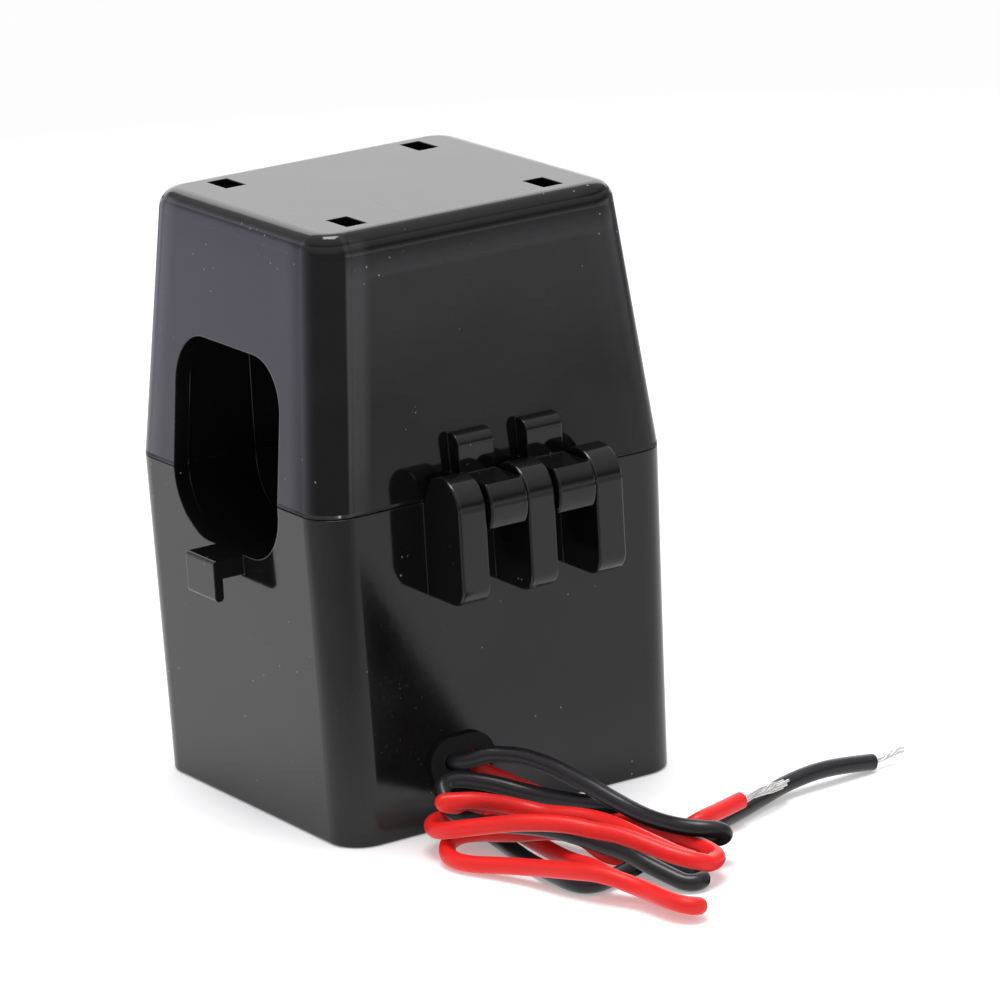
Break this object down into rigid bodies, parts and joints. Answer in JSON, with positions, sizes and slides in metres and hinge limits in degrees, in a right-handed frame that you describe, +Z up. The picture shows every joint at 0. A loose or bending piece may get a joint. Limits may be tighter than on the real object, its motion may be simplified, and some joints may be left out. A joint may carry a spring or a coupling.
{
  "type": "current transformer",
  "caption": "Clamp-on split-core current transformer in glossy black moulded shells, with a hinge, a conductor window and a loose hank of red and black leads.",
  "frame": {"origin": "middle of the base, on the plane that the transformer stands on", "axes": "+Z up, the conductor runs along Y, +X towards the hinge and the lead outlet, -Y towards the cable tie hook"},
  "size_m": [0.092, 0.0755, 0.075],
  "materials": {
    "black_shell": "glossy",
    "carrier_plastic": "glossy",
    "core_strip": "satin",
    "pin_steel": "satin",
    "spring_steel": "satin",
    "bobbin_plastic": "matte",
    "winding_copper": "satin",
    "tape": "satin",
    "pad_rubber": "matte",
    "red_insulation": "satin",
    "black_insulation": "satin",
    "tinned_strands": "satin"
  },
  "bodies": {
    "base": {"lower_shell": "black_shell", "hinge_pin": "pin_steel", "lower_core": "core_strip", "lower_core_carrier": "carrier_plastic", "winding_bobbin": "bobbin_plastic", "secondary_winding": "winding_copper", "winding_tape": "tape", "lead_grommet": "pad_rubber", "terminal_pins": "tinned_strands", "red_joint_sleeve": "red_insulation", "black_joint_sleeve": "black_insulation", "red_lead_start": "red_insulation", "black_lead_start": "black_insulation", "lead_hank": "red_insulation", "red_lead_tail": "red_insulation", "black_lead_tail": "black_insulation", "red_lead_strands": "tinned_strands", "black_lead_strands": "tinned_strands"},
    "lid": {"upper_shell": "black_shell", "upper_core": "core_strip", "upper_core_carrier": "carrier_plastic", "core_pad": "pad_rubber", "core_spring": "spring_steel"}
  },
  "joints": [
    {"name": "lid_hinge", "type": "hinge", "parent": "base", "child": "lid", "pos_m": [0.027, 0, 0.0414], "axis": [0, 1, 0], "range_deg": [0, 110]}
  ]
}
